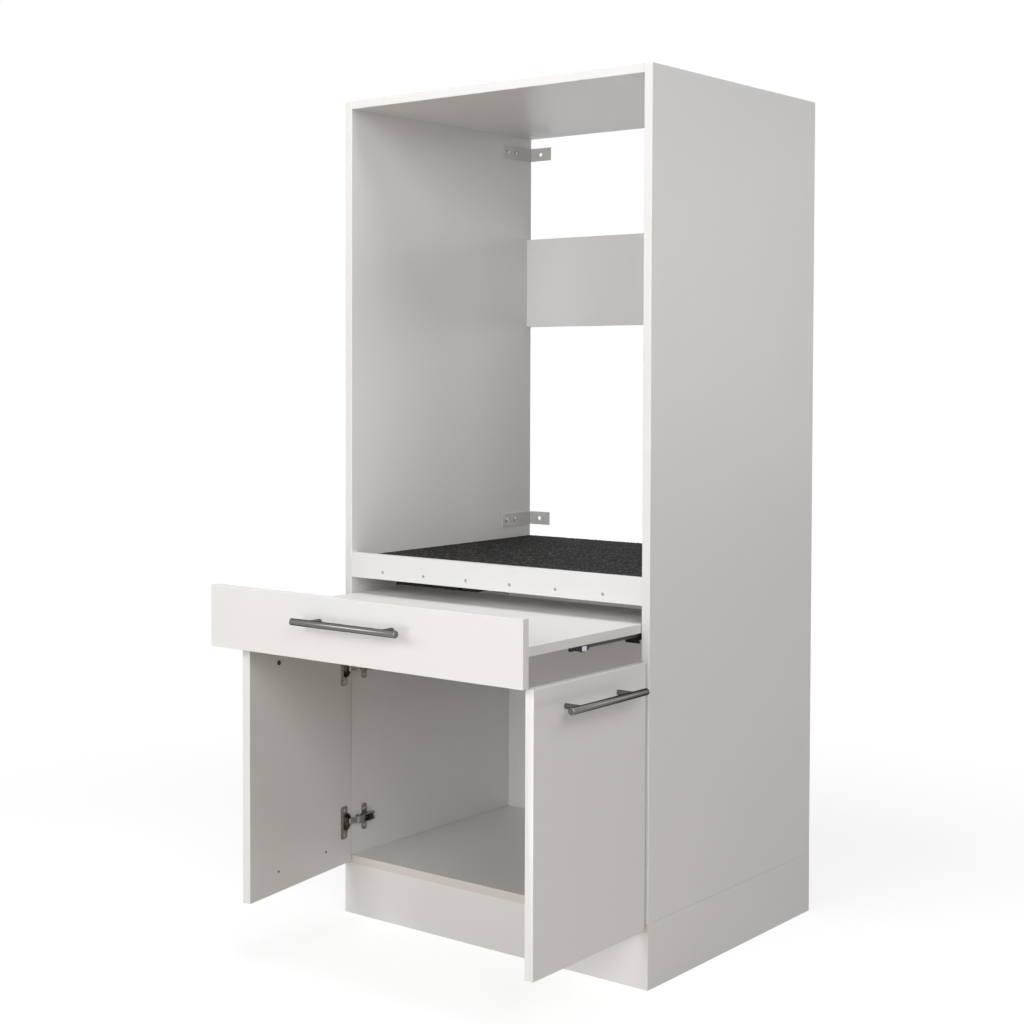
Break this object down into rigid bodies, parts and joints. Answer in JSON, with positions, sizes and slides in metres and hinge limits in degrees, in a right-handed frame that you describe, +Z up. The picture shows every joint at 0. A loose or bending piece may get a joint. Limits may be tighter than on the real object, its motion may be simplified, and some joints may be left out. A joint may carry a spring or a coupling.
{
  "type": "washing machine cabinet",
  "caption": "Tall white cabinet with an open bay and matted platform for a washing machine, a pull-out board beneath it and a low hinged-door cupboard on a plinth.",
  "frame": {"origin": "on the floor under the middle of the carcass", "axes": "+X to the right as seen from the front, +Y from the front to the wall, +Z up"},
  "size_m": [0.7577, 1.0285, 1.6],
  "materials": {
    "white_melamine": "semi-gloss white melamine on chipboard with white edging",
    "white_back": "thin white-coated fibreboard",
    "rubber_granulate": "bonded black rubber granulate with grey flecks",
    "black_plastic": "matt black plastic",
    "black_steel": "black coated sheet steel",
    "brushed_steel": "brushed steel",
    "hinge_nickel": "nickel-plated steel",
    "bracket_steel": "light grey coated steel",
    "cam_plastic": "white plastic",
    "beech": "bare beech",
    "screw_steel": "zinc-plated steel"
  },
  "bodies": {
    "carcass": {"plinth_front": "white_melamine", "plinth_left": "white_melamine", "plinth_right": "white_melamine", "plinth_rear": "white_melamine", "plinth_brace": "white_melamine", "bottom_panel": "white_melamine", "left_side_panel": "white_melamine", "right_side_panel": "white_melamine", "top_panel": "white_melamine", "rear_stretcher": "white_melamine", "platform_board": "white_melamine", "platform_front_rail": "white_melamine", "anti_vibration_mat": "rubber_granulate", "slot_buffer_strip": "black_plastic", "rail_screws": "screw_steel", "cupboard_back_panel": "white_back", "base_screws": "screw_steel", "upper_left_wall_bracket": "bracket_steel", "upper_right_wall_bracket": "bracket_steel", "lower_left_wall_bracket": "bracket_steel", "lower_right_wall_bracket": "bracket_steel", "bracket_screws": "screw_steel", "left_slide_cabinet_member": "black_steel", "right_slide_cabinet_member": "black_steel", "left_lower_hinge_arm": "hinge_nickel", "left_upper_hinge_arm": "hinge_nickel", "right_lower_hinge_arm": "hinge_nickel", "right_upper_hinge_arm": "hinge_nickel", "left_hinge_plates": "hinge_nickel", "right_hinge_plates": "hinge_nickel", "hinge_plate_screws": "screw_steel", "wood_dowels": "beech", "cam_locks": "cam_plastic", "cam_bolts": "screw_steel"},
    "pullout": {"pullout_front": "white_melamine", "pullout_board": "white_melamine", "pullout_dowels": "beech", "pullout_handle_bar": "brushed_steel", "pullout_handle_posts": "brushed_steel", "pullout_handle_screws": "screw_steel", "left_slide_drawer_member": "black_steel", "right_slide_drawer_member": "black_steel", "slide_catches": "black_plastic"},
    "left_slide_middle": {"left_slide_middle_member": "black_steel"},
    "right_slide_middle": {"right_slide_middle_member": "black_steel"},
    "left_door": {"left_door": "white_melamine", "left_door_handle_bar": "brushed_steel", "left_door_handle_posts": "brushed_steel", "left_door_handle_screws": "screw_steel", "left_lower_hinge_cup": "hinge_nickel", "left_upper_hinge_cup": "hinge_nickel", "left_hinge_pins": "hinge_nickel"},
    "right_door": {"right_door": "white_melamine", "right_door_handle_bar": "brushed_steel", "right_door_handle_posts": "brushed_steel", "right_door_handle_screws": "screw_steel", "right_lower_hinge_cup": "hinge_nickel", "right_upper_hinge_cup": "hinge_nickel", "right_hinge_pins": "hinge_nickel"}
  },
  "joints": [
    {"name": "pullout_slide", "type": "slide", "parent": "carcass", "child": "pullout", "axis": [0, -1, 0], "range_m": [-0.356, 0.004]},
    {"name": "left_slide_middle_slide", "type": "slide", "parent": "carcass", "child": "left_slide_middle", "axis": [0, -1, 0], "range_m": [-0.178, 0.002]},
    {"name": "right_slide_middle_slide", "type": "slide", "parent": "carcass", "child": "right_slide_middle", "axis": [0, -1, 0], "range_m": [-0.178, 0.002]},
    {"name": "left_door_hinge", "type": "hinge", "parent": "carcass", "child": "left_door", "pos_m": [-0.335, -0.3193, 0.338], "axis": [0, 0, -1], "range_deg": [-82, 13]},
    {"name": "right_door_hinge", "type": "hinge", "parent": "carcass", "child": "right_door", "pos_m": [0.335, -0.3193, 0.338], "axis": [0, 0, 1], "range_deg": [-90.5, 4.5]}
  ],
  "couplings": [
    {"joint": "left_slide_middle_slide", "follows": "pullout_slide", "ratio": 0.5},
    {"joint": "right_slide_middle_slide", "follows": "pullout_slide", "ratio": 0.5}
  ]
}
